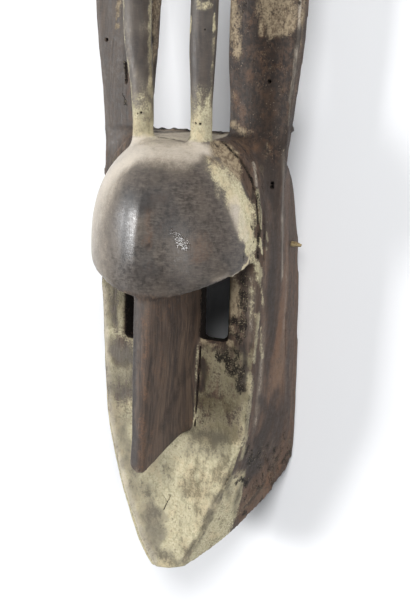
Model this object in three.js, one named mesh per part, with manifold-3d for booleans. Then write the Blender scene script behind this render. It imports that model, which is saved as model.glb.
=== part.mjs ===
// A carved wooden face mask with a domed forehead, a blade of a nose, two horns and two ears,
// lying on its back edge with the face up.
// Millimetres. X is the viewer's right, Y runs from the chin to the ears, Z points out of the face.
// While it is being carved, Y = 0 is the end of the chin and Z = 0 is the flat plane of the face.
// At the end everything is moved so that the origin is the middle of the mask's footprint.
import * as THREE from 'three';
import { mergeVertices } from 'three/addons/utils/BufferGeometryUtils.js';
import Module from 'manifold-3d';

const wasm = await Module();
wasm.setup();

// The face's flat plane, the ridge along each side wall and the back edge, from the chin upwards:
// height, half width of the face on the right and on the left, half width of the ridge on the right and on
// the left, the ridge's depth behind the face, half width of the back edge
const wallStations = [
    [0, 15, 15, 60, 60, 80, 69],
    [12, 22, 22, 69, 69, 80, 79],
    [29, 31, 31, 76, 76, 80, 85],
    [53, 42, 41, 82, 82, 80, 90],
    [77, 53, 50, 84.5, 84, 80, 91],
    [97, 60.5, 56.5, 86.5, 85, 80, 91],
    [112, 66.8, 61, 88.5, 87, 78, 92],
    [135, 73.8, 67, 91.5, 89, 74, 92.5],
    [160, 78.4, 70.5, 92.8, 90, 66, 92],
    [200, 81, 74, 92.6, 90, 55, 91],
    [240, 83, 77, 92.8, 90, 45, 89.5],
    [285, 86, 80, 93.4, 91, 36, 88],
    [330, 86.5, 83, 94, 93, 29, 84.8],
    [372, 81, 80, 93.5, 96, 28, 79.5],
    [398, 72, 72, 94, 96.5, 28, 76],
    [414, 59, 59, 95, 96.8, 28, 74.5],
    [432, 30, 30, 95.5, 97, 28, 73],
];
const wallSteps = 30;
const blockTop = 432;

// Side view of the mask without horns and ears
const backDepth = 96;
const chinEdgeDepth = 6;
const jawCorner = { height: 100, round: 14 };
const nape = { start: 350, end: 405, napeward: 30, earward: 6, lowZ: -84 };
const crown = { backHeight: 425.5, frontHeight: 420, frontZ: 28 };

// Walls
const wallThickness = 14;
const shoulderThickness = 30;
const faceThickness = 18;

// Forehead dome
const dome = {
    middleX: -1, halfWidth: 82, depth: 74, top: 427, widestHeight: 322, fullestHeight: 345,
    roundness: 2.2, keel: 2.5, behindFace: 16,
};
const brow = { height: 281, rise: 33, depthLoss: 8 };
const domeColumns = 36;
const domeRows = 14;
const domeHollow = { radii: new THREE.Vector3(60, 48, 54), centre: new THREE.Vector3(0, 356, -6) };

// Nose blade: its section under the brow and at its tip
const nose = { top: 304, rootHeight: 149, tipHeight: 112.5, depth: 65, underCurve: 1.15 };
const noseTopSection = { rootHalf: 27, right: 11.2, left: -14.2 };
const noseTipSection = { rootHalf: 24, right: 6, left: -11.5 };

// Eye holes: inner edge, outer edge at the front and at the back, and both ends
const rightEye = { side: 1, inner: 27, outerFront: 57, outerBack: 48, bottom: 234, top: 300 };
const leftEye = { side: -1, inner: 27, outerFront: 54, outerBack: 48, bottom: 226, top: 300 };

// Ears: height, inner edge, outer edge at the front, outer edge at the back, thickness
const earFrontDepth = 28;
const earRootThickness = 18;
const earEdge = 1.5;
const earSteps = 18;
const rightEarStations = [
    [388, 38, 93.2, 91.5, 18], [415, 36.2, 95, 92.8, 18], [440, 36.4, 96.5, 95, 18],
    [462, 35.6, 97.5, 97.4, 18], [485, 34, 98.9, 99.6, 18], [510, 33, 99.9, 101.6, 18],
    [550, 32.5, 101, 103.4, 18], [588, 34, 102.5, 104, 16.5], [620, 38, 101, 102.5, 15],
    [648, 45, 95.5, 97, 13.5], [670, 54, 88, 89, 12], [682, 62, 79.5, 80.5, 10.5], [688, 68, 74, 74.5, 9],
];
const leftEarStations = [
    [388, -52, -97, -96, 18], [415, -51.5, -96.8, -96.3, 18], [440, -50.8, -97.8, -97.6, 18],
    [462, -49.6, -99.6, -99.4, 18], [485, -48.3, -101.9, -101.9, 18], [510, -46.6, -104.3, -104.6, 18],
    [547, -44.4, -107.4, -107.8, 18], [588, -44, -108.2, -108.6, 16.5], [618, -47.5, -106, -106.5, 15],
    [646, -54, -99.5, -100, 13.5], [668, -62, -91, -91.5, 12], [679, -69, -83, -83.5, 10.5],
    [685, -74, -78, -78.5, 9],
];

// Horns: height, sideways place, distance in front of the face plane, radius
const hornSides = 18;
const hornSteps = 24;
const rightHornStations = [
    [398, 28.4, 13, 12], [423, 28.2, 13, 10.9], [441, 28, 13, 10.1], [459, 27.6, 13, 10.4],
    [479, 27.4, 13, 11.3], [500, 27.1, 13, 12.5], [524, 27.5, 13, 12.9], [550, 27.6, 13, 12.8],
    [580, 28.8, 12.6, 12.1], [608, 30.4, 11.6, 10.3], [632, 31.8, 10.5, 7.5], [646, 32.6, 9.6, 4.4],
    [651, 33, 9.2, 1.8],
];
const leftHornStations = [
    [398, -32.3, 13, 11.6], [418, -32.1, 13, 10.4], [437, -31.5, 13, 10], [455, -32.7, 13, 10.5],
    [474, -34.4, 13, 11.1], [492, -37, 13, 12], [510, -39.2, 13, 12.8], [546, -40.8, 13, 13.7],
    [578, -42.4, 12.6, 12.8], [606, -44.2, 11.6, 10.6], [630, -45.6, 10.5, 7.5], [643, -46.4, 9.6, 4.4],
    [648, -46.8, 9.2, 1.8],
];

// Peg in the right-hand side wall
const peg = { radius: 3, height: 322, depth: 71, innerEnd: 74, outerEnd: 99, taper: 0.8, sides: 14 };
const touchGap = 0.3;

const woodGrey = new THREE.MeshStandardMaterial({ color: 0x6f665c, roughness: 0.6, metalness: 0 });
const woodPale = new THREE.MeshStandardMaterial({ color: 0xc9b58c, roughness: 0.8, metalness: 0 });

const { lerp, smoothstep, mapLinear } = THREE.MathUtils;

// A closed three.js geometry as a solid for cutting and joining
function solidOf(geometry) {
    const bare = geometry.clone();
    bare.deleteAttribute('normal');
    bare.deleteAttribute('uv');
    const merged = mergeVertices(bare, 1e-4);
    return new wasm.Manifold(new wasm.Mesh({
        numProp: 3,
        vertProperties: new Float32Array(merged.attributes.position.array),
        triVerts: new Uint32Array(merged.index.array),
    }));
}

// A solid as a three.js geometry again
function geometryOf(solid) {
    const mesh = solid.getMesh();
    const geometry = new THREE.BufferGeometry();
    geometry.setAttribute('position', new THREE.BufferAttribute(new Float32Array(mesh.vertProperties), 3));
    geometry.setIndex(new THREE.BufferAttribute(new Uint32Array(mesh.triVerts), 1));
    geometry.computeVertexNormals();
    return geometry;
}

function middleOf(ring) {
    const sum = new THREE.Vector3();
    ring.forEach((point) => sum.add(point));
    return sum.divideScalar(ring.length);
}

// A closed skin over rings with equally many points. Each ring runs anticlockwise as seen from the next one,
// and both ends are closed by a fan around a hub.
function skin(rings, firstHub = middleOf(rings[0]), lastHub = middleOf(rings.at(-1))) {
    const count = rings[0].length;
    const lastStart = (rings.length - 1) * count;
    const hubStart = rings.length * count;
    const index = [];
    for (let start = 0; start < lastStart; start += count) {
        for (let i = 0; i < count; i++) {
            const next = (i + 1) % count;
            index.push(start + i, start + next, start + next + count);
            index.push(start + i, start + next + count, start + i + count);
        }
    }
    for (let i = 0; i < count; i++) {
        const next = (i + 1) % count;
        index.push(hubStart, next, i);
        index.push(hubStart + 1, lastStart + i, lastStart + next);
    }
    const geometry = new THREE.BufferGeometry().setFromPoints([...rings.flat(), firstHub, lastHub]);
    geometry.setIndex(index);
    return geometry;
}

// The row at a share of the way through a list of stations, on a smooth curve through every column
function rowAtShare(stations, share) {
    return stations[0].map((_, column) => {
        const curve = new THREE.SplineCurve(stations.map((row) => new THREE.Vector2(row[0], row[column])));
        return curve.getPoint(share).y;
    });
}

function rowsThrough(stations, steps) {
    return Array.from({ length: steps + 1 }, (_, step) => rowAtShare(stations, step / steps));
}

const fineSteps = 120;
const wallRows = rowsThrough(wallStations, fineSteps);

// The wall's measures at any height
function wallAt(height) {
    const above = Math.max(1, wallRows.findIndex((row) => row[0] >= height));
    const [low, high] = [wallRows[above - 1], wallRows[above]];
    const row = low.map((value, column) => mapLinear(height, low[0], high[0], value, high[column]));
    const [, faceRight, faceLeft, ridgeRight, ridgeLeft, ridgeDepth, back] = row;
    return { face: { 1: faceRight, [-1]: faceLeft }, ridge: { 1: ridgeRight, [-1]: ridgeLeft }, ridgeDepth, back };
}

// Half width of a side wall at a height and a depth
function halfWidthAt(side, height, depth) {
    const wall = wallAt(height);
    if (depth < wall.ridgeDepth) return mapLinear(depth, 0, wall.ridgeDepth, wall.face[side], wall.ridge[side]);
    return mapLinear(depth, wall.ridgeDepth, backDepth, wall.ridge[side], wall.back);
}

// A ring up the right-hand wall and down the left-hand one
function wallRing(pointAt) {
    const heights = rowsThrough(wallStations, wallSteps).map((row) => row[0]);
    const rightSide = heights.map((height) => pointAt(1, height));
    const leftSide = heights.map((height) => pointAt(-1, height)).reverse();
    return [...rightSide, ...leftSide];
}

// The block of face and walls. Beside the dome the surface sinks steeply from the face to the ears' front.
function carveBlock() {
    const facePoint = (side, height) => new THREE.Vector3(side * wallAt(height).face[side], height, 0);
    const collarPoint = (side, height) => {
        const wall = wallAt(height);
        const beside = smoothstep(height, 335, 375);
        const out = lerp(wall.face[side], wall.ridge[side], lerp(0.5, 0.22, beside));
        return new THREE.Vector3(side * out, height, -wall.ridgeDepth * lerp(0.5, 0.85, beside));
    };
    const ridgePoint = (side, height) => {
        const wall = wallAt(height);
        return new THREE.Vector3(side * wall.ridge[side], height, -wall.ridgeDepth);
    };
    const backPoint = (side, height) => new THREE.Vector3(side * wallAt(height).back, height, -backDepth);
    const behindPoint = (side, height) => backPoint(side, height).setZ(-backDepth - 10);
    return solidOf(skin([behindPoint, backPoint, ridgePoint, collarPoint, facePoint].map(wallRing)));
}

// The side view as a slab: jaw rising to the chin, flat back edge, nape curving up to the ears, crown
function sideViewSlab() {
    const outline = new THREE.Shape();
    const frontZ = 120;
    const napeZ = -earFrontDepth - earRootThickness;
    const crownSlope = (crown.frontHeight - crown.backHeight) / (crown.frontZ - napeZ);
    outline.moveTo(0, frontZ);
    outline.lineTo(0, -chinEdgeDepth);
    outline.lineTo(jawCorner.height - 12, -backDepth + 10);
    outline.quadraticCurveTo(jawCorner.height, -backDepth, jawCorner.height + jawCorner.round, -backDepth);
    outline.lineTo(nape.start, -backDepth);
    outline.bezierCurveTo(
        nape.start + nape.napeward, -backDepth, nape.end - nape.earward, nape.lowZ, nape.end, napeZ);
    outline.lineTo(crown.backHeight, napeZ);
    outline.lineTo(crown.backHeight + crownSlope * (frontZ - napeZ), frontZ);
    const width = 240;
    const slab = new THREE.ExtrudeGeometry(outline, { depth: width, bevelEnabled: false, curveSegments: 6 });
    slab.applyMatrix4(new THREE.Matrix4().makeBasis(
        new THREE.Vector3(0, 1, 0), new THREE.Vector3(0, 0, 1), new THREE.Vector3(1, 0, 0)));
    slab.translate(-width / 2, 0, 0);
    return solidOf(slab);
}

// The hollow for the wearer's head, open at the back
function hollow() {
    const layers = [
        { depth: 130, extra: 3, bottom: 42, top: 370 },
        { depth: backDepth, extra: 0, bottom: 42, top: 377 },
        { depth: 55, extra: 0, bottom: 42, top: 394 },
        { depth: faceThickness + 10, extra: 1, bottom: 44, top: 399 },
        { depth: faceThickness, extra: 9, bottom: 54, top: 392 },
    ];
    const rings = layers.map((layer) => wallRing((side, bodyHeight) => {
        const height = mapLinear(bodyHeight, 0, blockTop, layer.bottom, layer.top);
        const inset = lerp(wallThickness, shoulderThickness, smoothstep(height, 325, 395)) + layer.extra;
        const halfWidth = halfWidthAt(side, height, Math.min(layer.depth, backDepth)) - inset;
        return new THREE.Vector3(side * halfWidth, height, -layer.depth);
    }));
    return solidOf(skin(rings));
}

// How far the dome reaches at a height, as a share of its widest place: a rounded end towards the top
function roundedEnd(height, widest) {
    const share = Math.max(0, (height - widest) / (dome.top - widest));
    return Math.pow(1 - Math.pow(share, dome.roundness), 1 / dome.roundness);
}

// A point on the dome: angle across the forehead, 0 at the keel, and height
function domePoint(angle, height) {
    const below = Math.max(0, (dome.fullestHeight - height) / (dome.fullestHeight - brow.height));
    const keel = dome.keel * (Math.pow(Math.cos(angle), 12) - 1);
    const depth = (dome.depth + keel) * roundedEnd(height, dome.fullestHeight) - brow.depthLoss * below * below;
    const halfWidth = dome.halfWidth * roundedEnd(height, dome.widestHeight);
    return new THREE.Vector3(dome.middleX + halfWidth * Math.sin(angle), height, depth * Math.cos(angle));
}

// Height of the brow's edge: lowest over the nose and rising towards the temples
function browEdge(angle) {
    return brow.height + brow.rise * 0.5 * (1 - Math.cos(angle) + Math.sin(angle) ** 2);
}

function carveDome() {
    const rings = Array.from({ length: domeRows + 1 }, (_, row) => {
        const share = 0.995 * Math.sin(0.5 * Math.PI * row / domeRows);
        const ring = Array.from({ length: domeColumns + 1 }, (_, column) => {
            const angle = Math.PI * (column / domeColumns - 0.5);
            return domePoint(angle, lerp(browEdge(angle), dome.top, share));
        });
        const corners = [ring[domeColumns], ring[0]].map((end) => end.clone().setZ(-dome.behindFace));
        return [...ring, ...corners];
    });
    return solidOf(skin(rings, new THREE.Vector3(dome.middleX, brow.height + 16, -dome.behindFace)));
}

// One level of the nose: a wedge with a narrow rounded front, whose underside rises towards its root
function noseRing({ share, drop, back, narrow }) {
    const between = (name) => lerp(noseTipSection[name], noseTopSection[name], share);
    const root = between('rootHalf');
    const right = between('right') - narrow;
    const left = between('left') + narrow;
    const front = nose.depth - back;
    const outline = [
        [root, -faceThickness + 2], [root, 0], [right, front - 5], [right - 1.5, front - 1.5],
        [right - 5, front], [(right + left) / 2, front + 0.6], [left + 7, front - 0.6],
        [left + 1.5, front - 4], [left, front - 8], [-root, 0], [-root, -faceThickness + 2],
    ];
    const height = lerp(nose.rootHeight, nose.top, share);
    return outline.map(([x, z]) => {
        const out = Math.pow(Math.max(0, z) / nose.depth, nose.underCurve);
        return new THREE.Vector3(x, height - drop * out, z);
    }).reverse();
}

function carveNose() {
    const drop = nose.rootHeight - nose.tipHeight;
    return solidOf(skin([
        noseRing({ share: 0, drop, back: 4.5, narrow: 2.5 }),
        noseRing({ share: 0.015, drop, back: 1.5, narrow: 0.8 }),
        noseRing({ share: 0.04, drop, back: 0.3, narrow: 0 }),
        noseRing({ share: 0.5, drop: drop * 0.5, back: 0, narrow: 0 }),
        noseRing({ share: 1, drop: 0, back: 3, narrow: 0 }),
    ]));
}

// An eye hole: four upright walls, the outer one slanting open towards the front
function eyeHole(eye) {
    const slant = (eye.outerFront - eye.outerBack) / faceThickness;
    const ringAt = (outer, z) => {
        const ring = [[eye.inner, eye.bottom], [outer, eye.bottom], [outer, eye.top], [eye.inner, eye.top]]
            .map(([x, y]) => new THREE.Vector3(eye.side * x, y, z));
        return eye.side > 0 ? ring : ring.reverse();
    };
    const behind = faceThickness + 12;
    return solidOf(skin([
        ringAt(eye.outerFront - slant * behind, -behind), ringAt(eye.outerFront, 0), ringAt(eye.outerFront, 2),
    ]));
}

// An ear: a flat board with chamfered edges and a leaf-shaped end, its root sunk in the shoulder
function carveEar(stations) {
    const front = -earFrontDepth;
    const rings = rowsThrough(stations, earSteps).map(([height, inner, outerFront, outerBack, thickness]) => {
        const inward = Math.sign(inner) * earEdge;
        const back = front - thickness;
        const section = [
            [inner + inward, back], [outerBack - inward, back], [outerBack, back + earEdge],
            [outerFront, front - earEdge], [outerFront - inward, front], [inner + inward, front],
            [inner, front - earEdge], [inner, back + earEdge],
        ].map(([x, z]) => new THREE.Vector3(x, height, z));
        return inner > 0 ? section.reverse() : section;
    });
    return solidOf(skin(rings));
}

// A horn: round, swelling above its root and narrowing to a rounded tip
function carveHorn(stations) {
    const rings = rowsThrough(stations, hornSteps).map(([height, x, z, radius]) =>
        Array.from({ length: hornSides }, (_, corner) => {
            const angle = -2 * Math.PI * corner / hornSides;
            return new THREE.Vector3(x + radius * Math.cos(angle), height, z + radius * Math.sin(angle));
        }));
    return solidOf(skin(rings));
}

// A round bar across the right-hand wall, slightly narrower at its outer end
function sideBar(radius, innerEnd, outerEnd) {
    const bar = new THREE.CylinderGeometry(radius * peg.taper, radius, outerEnd - innerEnd, peg.sides);
    bar.rotateZ(-Math.PI / 2);
    bar.translate((innerEnd + outerEnd) / 2, peg.height, -peg.depth);
    return bar;
}

function domeHollowBall() {
    const { radii, centre } = domeHollow;
    const ball = new THREE.SphereGeometry(1, 28, 16);
    ball.scale(radii.x, radii.y, radii.z);
    ball.translate(centre.x, centre.y, centre.z);
    return solidOf(ball);
}

const carving = carveBlock()
    .add(carveDome())
    .intersect(sideViewSlab())
    .add(carveNose())
    .add(carveEar(rightEarStations))
    .add(carveEar(leftEarStations))
    .add(carveHorn(rightHornStations))
    .add(carveHorn(leftHornStations))
    .subtract(hollow())
    .subtract(domeHollowBall())
    .subtract(eyeHole(rightEye))
    .subtract(eyeHole(leftEye))
    .subtract(solidOf(sideBar(peg.radius + touchGap, peg.innerEnd - 6, peg.outerEnd + 1)));

const mask = new THREE.Mesh(geometryOf(carving), woodGrey);
mask.name = 'mask';

const sidePeg = new THREE.Mesh(sideBar(peg.radius, peg.innerEnd, peg.outerEnd), woodPale);
sidePeg.name = 'side_peg';

const group = new THREE.Group();
group.add(mask, sidePeg);

const box = new THREE.Box3().setFromObject(group);
const middle = box.getCenter(new THREE.Vector3());
group.children.forEach((child) => child.position.set(-middle.x, -middle.y, -box.min.z));

export default group;
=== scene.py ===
# A carved wooden face mask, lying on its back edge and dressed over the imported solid.
# The carving is worked in millimetres of its own: x to the viewer's right, y up from the end of the chin,
# z out of the face, with z = 0 on the face's flat plane.

import math

import bmesh
import bpy
import numpy as np
from mathutils import Matrix, Vector


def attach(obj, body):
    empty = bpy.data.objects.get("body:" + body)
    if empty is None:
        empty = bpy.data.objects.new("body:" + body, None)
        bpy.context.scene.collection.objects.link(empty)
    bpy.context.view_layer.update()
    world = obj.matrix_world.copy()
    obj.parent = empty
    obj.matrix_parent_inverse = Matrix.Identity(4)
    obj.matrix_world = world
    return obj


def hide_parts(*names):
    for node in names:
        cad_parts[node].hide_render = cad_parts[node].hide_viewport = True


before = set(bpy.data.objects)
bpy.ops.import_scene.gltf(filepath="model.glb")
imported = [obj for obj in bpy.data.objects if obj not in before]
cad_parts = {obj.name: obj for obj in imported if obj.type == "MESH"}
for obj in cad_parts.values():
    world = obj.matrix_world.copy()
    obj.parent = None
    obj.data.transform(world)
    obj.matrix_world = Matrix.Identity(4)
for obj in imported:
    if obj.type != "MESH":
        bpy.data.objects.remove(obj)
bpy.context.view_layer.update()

MILLIMETRE = 0.001
CHIN_END = np.array((0.00232, -0.344, 0.096))
# Size of each mesh's squares in metres, and how near a groove or hole they are divided, in mm
CARVING_GRID = 0.0025
PEG_GRID = 0.0006
FINE_REACHES = (3, 1.6)
# The flat back edge that the mask lies on, in mm
RIM_DEPTH = -96


# Camera


def add_camera():
    """The photograph's view: from the front right and a little above the face."""
    yaw, pitch, roll = (math.radians(angle) for angle in (25, 12, 2))
    distance = 1.3
    target = Vector(CHIN_END) + Vector((32, 265, 0)) * MILLIMETRE
    toward = Vector((math.sin(yaw) * math.cos(pitch), math.sin(pitch), math.cos(yaw) * math.cos(pitch)))
    right = Vector((math.cos(yaw), 0, -math.sin(yaw)))
    up = toward.cross(right)
    tilted_right = right * math.cos(roll) + up * math.sin(roll)
    tilted_up = up * math.cos(roll) - right * math.sin(roll)
    data = bpy.data.cameras.new("camera")
    data.sensor_width = 36
    data.lens = 80.78
    camera = bpy.data.objects.new("camera", data)
    turn = Matrix((tilted_right, tilted_up, toward)).transposed().to_4x4()
    camera.matrix_world = Matrix.Translation(target + toward * distance) @ turn
    bpy.context.scene.collection.objects.link(camera)
    bpy.context.scene.camera = camera


# Working on many places at once


def smooth(low, high, values):
    """Eases from 0 at low to 1 at high, also where low is larger."""
    share = np.clip((values - low) / (high - low), 0, 1)
    return share * share * (3 - 2 * share)


def noise_field(places, size, seed):
    """Smooth noise from -1 to 1 with features of that size in mm, one size or one for each axis."""
    cells = 32
    table = np.random.default_rng(seed).uniform(-1, 1, (cells, cells, cells))
    scaled = places / size + seed * 3.7
    cell = np.floor(scaled).astype(int)
    part = scaled - cell
    part = part * part * (3 - 2 * part)
    total = np.zeros(len(places))
    for corner in np.ndindex(2, 2, 2):
        weight = np.prod(np.where(corner, part, 1 - part), axis=1)
        total += weight * table[tuple(((cell + corner) % cells).T)]
    return total


def warp_field(places, size, seed):
    """Smooth noise along each axis, to make a line waver."""
    return np.stack([noise_field(places, size, seed + axis) for axis in range(3)], axis=1)


def distance_to_line(places, line):
    """Distance from each place to a line through several points."""
    nearest = np.full(len(places), 1e9)
    points = [np.array(point, float) for point in line]
    for start, end in zip(points, points[1:]):
        step = end - start
        share = np.clip((places - start) @ step / (step @ step), 0, 1)
        nearest = np.minimum(nearest, np.linalg.norm(places - start - share[:, None] * step, axis=1))
    return nearest


def read_places(mesh):
    flat = np.empty(len(mesh.vertices) * 3)
    mesh.vertices.foreach_get("co", flat)
    return (flat.reshape(-1, 3) - CHIN_END) / MILLIMETRE


def write_places(mesh, places):
    mesh.vertices.foreach_set("co", (places * MILLIMETRE + CHIN_END).ravel())
    mesh.update()


def read_normals(mesh):
    flat = np.empty(len(mesh.vertices) * 3, np.float32)
    mesh.vertex_normals.foreach_get("vector", flat)
    return flat.reshape(-1, 3).astype(float)


def read_edges(mesh):
    flat = np.empty(len(mesh.edges) * 2, np.int32)
    mesh.edges.foreach_get("vertices", flat)
    return flat.reshape(-1, 2)


def relaxed(places, edges, share, rounds):
    """Places moved towards the middle of their neighbours, each by its own share."""
    count = len(places)
    neighbours = np.bincount(edges.ravel(), minlength=count)
    for _ in range(rounds):
        total = np.stack([
            np.bincount(edges[:, 0], places[edges[:, 1], axis], count)
            + np.bincount(edges[:, 1], places[edges[:, 0], axis], count)
            for axis in range(places.shape[1])
        ], axis=1)
        places = places + share[:, None] * (total / neighbours[:, None] - places)
    return places


# Fine shapes, all in mm

# Each groove is a line of places, half its width, its depth and how much dirt it holds, from 0 to 1.
GROOVES = {
    "slit beside the nose": ([(28.6, 226, 0), (27.8, 200, 0), (27, 175, 0), (26, 148, 0)], 1.1, 4.5, 0.9),
    "crack's left arm": ([(-6.6, 71.2, 0), (-4, 68.5, 0), (-1.6, 65.5, 0)], 1.3, 1.3, 0.62),
    "crack's right arm": ([(1.6, 72.8, 0), (0, 68.5, 0), (-1.6, 65.5, 0), (-5.4, 56.5, 0)], 0.95, 1.3, 0.6),
    "jaw's upper groove": ([(69, 121, 0), (62.5, 99, 0), (55.5, 84.5, 0), (48.5, 72, 0)], 2.4, 0.9, 0),
    "jaw's lower groove": ([(43.5, 58, 0), (36, 38, 0), (27, 22, 0), (19, 10, 0)], 2.6, 1, 0),
    "collar's inner edge": ([
        (47, 419, 0), (60, 408, 0), (68.6, 397.5, 0), (75, 387, 0), (79, 375, 0), (82, 357, 0),
        (83.5, 339, 0), (83.5, 318, 0)], 1.5, 1.2, 0.6),
    "collar's outer edge": ([
        (50, 421, -9), (62, 414, -10), (71, 404, -9.5), (78, 390, -9), (83, 375, -8), (86, 357, -6),
        (88, 334, -5), (88.5, 314, -5)], 1.5, 1.2, 0.35),
    "burn on the left ear": ([(-72.5, 486, -28), (-71.5, 476, -28), (-72, 468, -28)], 1.7, 1.5, 0.5),
    "crack in the wall": ([(91, 372, -60), (92, 340, -61), (92.6, 300, -62)], 0.9, 0.9, 0.4),
    "lower crack in the wall": ([(92.4, 262, -55), (92, 235, -57), (91.8, 214, -60)], 0.9, 1, 0.4),
    "right ear's outer edge": ([
        (102.6, 560, -29), (101.6, 515, -29.5), (99.2, 479, -29.5), (96.8, 440, -29.5)], 1.3, 0.25, 0),
    "crown's front edge": ([
        (-22, 422, 4), (-12, 421.5, 7), (-3.4, 421, 10.5), (8.5, 420.5, 15.5), (18, 420.5, 19)],
        1.4, 0.7, 0.45),
}

# Each hole is its middle, its radius and its depth.
HOLES = {
    "left ear": ((-93.6, 508, -28), 1.6, 5),
    "right ear": ((75.2, 476.8, -28), 1.9, 5),
    "left horn, outer": ((-32.8, 443.5, 22.5), 1.1, 3),
    "left horn, inner": ((-29.2, 444.5, 22.5), 1.4, 3),
    "right horn, outer": ((26.6, 438.5, 23), 1.2, 3),
    "right horn, inner": ((31.4, 438.3, 22.6), 1.4, 3),
    "shoulder": ((84.4, 381, -24.7), 1.9, 6),
    "shoulder's upper part": ((84.6, 384.5, -24.7), 1.6, 6),
    "right horn, high": ((33.6, 522, 23.5), 0.9, 2),
    "left ear's edge": ((-97, 381, -28), 2, 2),
    "face": ((-47, 262, 0), 0.9, 2),
}

BROW_LINE = [(73, 304.5, 29), (76, 307, 24), (78.2, 310, 18), (79.4, 313.5, 13), (79.8, 320, 12)]
LEFT_BORDER = [
    (-79, 270, 0), (-77, 240, 0), (-74, 200, 0), (-70.5, 160, 0), (-67, 135, 0), (-61, 112, 0), (-50, 77, 0),
    (-41, 53, 0), (-31, 29, 0), (-22, 12, 0), (-15, 1, 0)]


def groove_depths(places):
    """How deep the grooves are at each place, and how much of the grooves' grime lies on it."""
    depths = np.zeros(len(places))
    dirt_and_hole_shade = np.zeros(len(places))
    wander = 0.5 * noise_field(places, 7, 5)
    for line, width, depth, dirtiness in GROOVES.values():
        away = np.abs(distance_to_line(places, line) + wander * min(width, 1))
        depths = np.maximum(depths, depth * smooth(width, width * 0.25, away))
        dirt_and_hole_shade = np.maximum(dirt_and_hole_shade, dirtiness * smooth(width * 1.1, width * 0.4, away))
    return depths, dirt_and_hole_shade


def fine_parts(places):
    """Where the mesh has to be finer, as the distance to the nearest groove or hole."""
    nearest = np.full(len(places), 1e9)
    for line, width, _, _ in GROOVES.values():
        nearest = np.minimum(nearest, distance_to_line(places, line) - width)
    nearest = np.minimum(nearest, distance_to_line(places, BROW_LINE) - 1.2)
    for middle, radius, _ in HOLES.values():
        nearest = np.minimum(nearest, np.linalg.norm(places - np.array(middle), axis=1) - radius)
    return nearest


def even_mesh(node, size):
    """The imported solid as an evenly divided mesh."""
    source = bmesh.new()
    source.from_mesh(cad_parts[node].data)
    bmesh.ops.remove_doubles(source, verts=source.verts, dist=1e-6)
    mesh = bpy.data.meshes.new("even")
    source.to_mesh(mesh)
    source.free()
    shape = bpy.data.objects.new("even", mesh)
    bpy.context.scene.collection.objects.link(shape)
    divide = shape.modifiers.new("divide", "REMESH")
    divide.mode = "VOXEL"
    divide.voxel_size = size
    depsgraph = bpy.context.evaluated_depsgraph_get()
    even = bpy.data.meshes.new_from_object(shape.evaluated_get(depsgraph))
    bpy.data.objects.remove(shape)
    return even


def refine(mesh, reach):
    """Divides the mesh again around the grooves and holes."""
    shape = bmesh.new()
    shape.from_mesh(mesh)
    near = fine_parts(read_places(mesh)) < reach
    shape.verts.ensure_lookup_table()
    edges = [edge for edge in shape.edges if near[edge.verts[0].index] and near[edge.verts[1].index]]
    bmesh.ops.subdivide_edges(shape, edges=edges, cuts=1, use_grid_fill=True)
    shape.to_mesh(mesh)
    shape.free()


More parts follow.
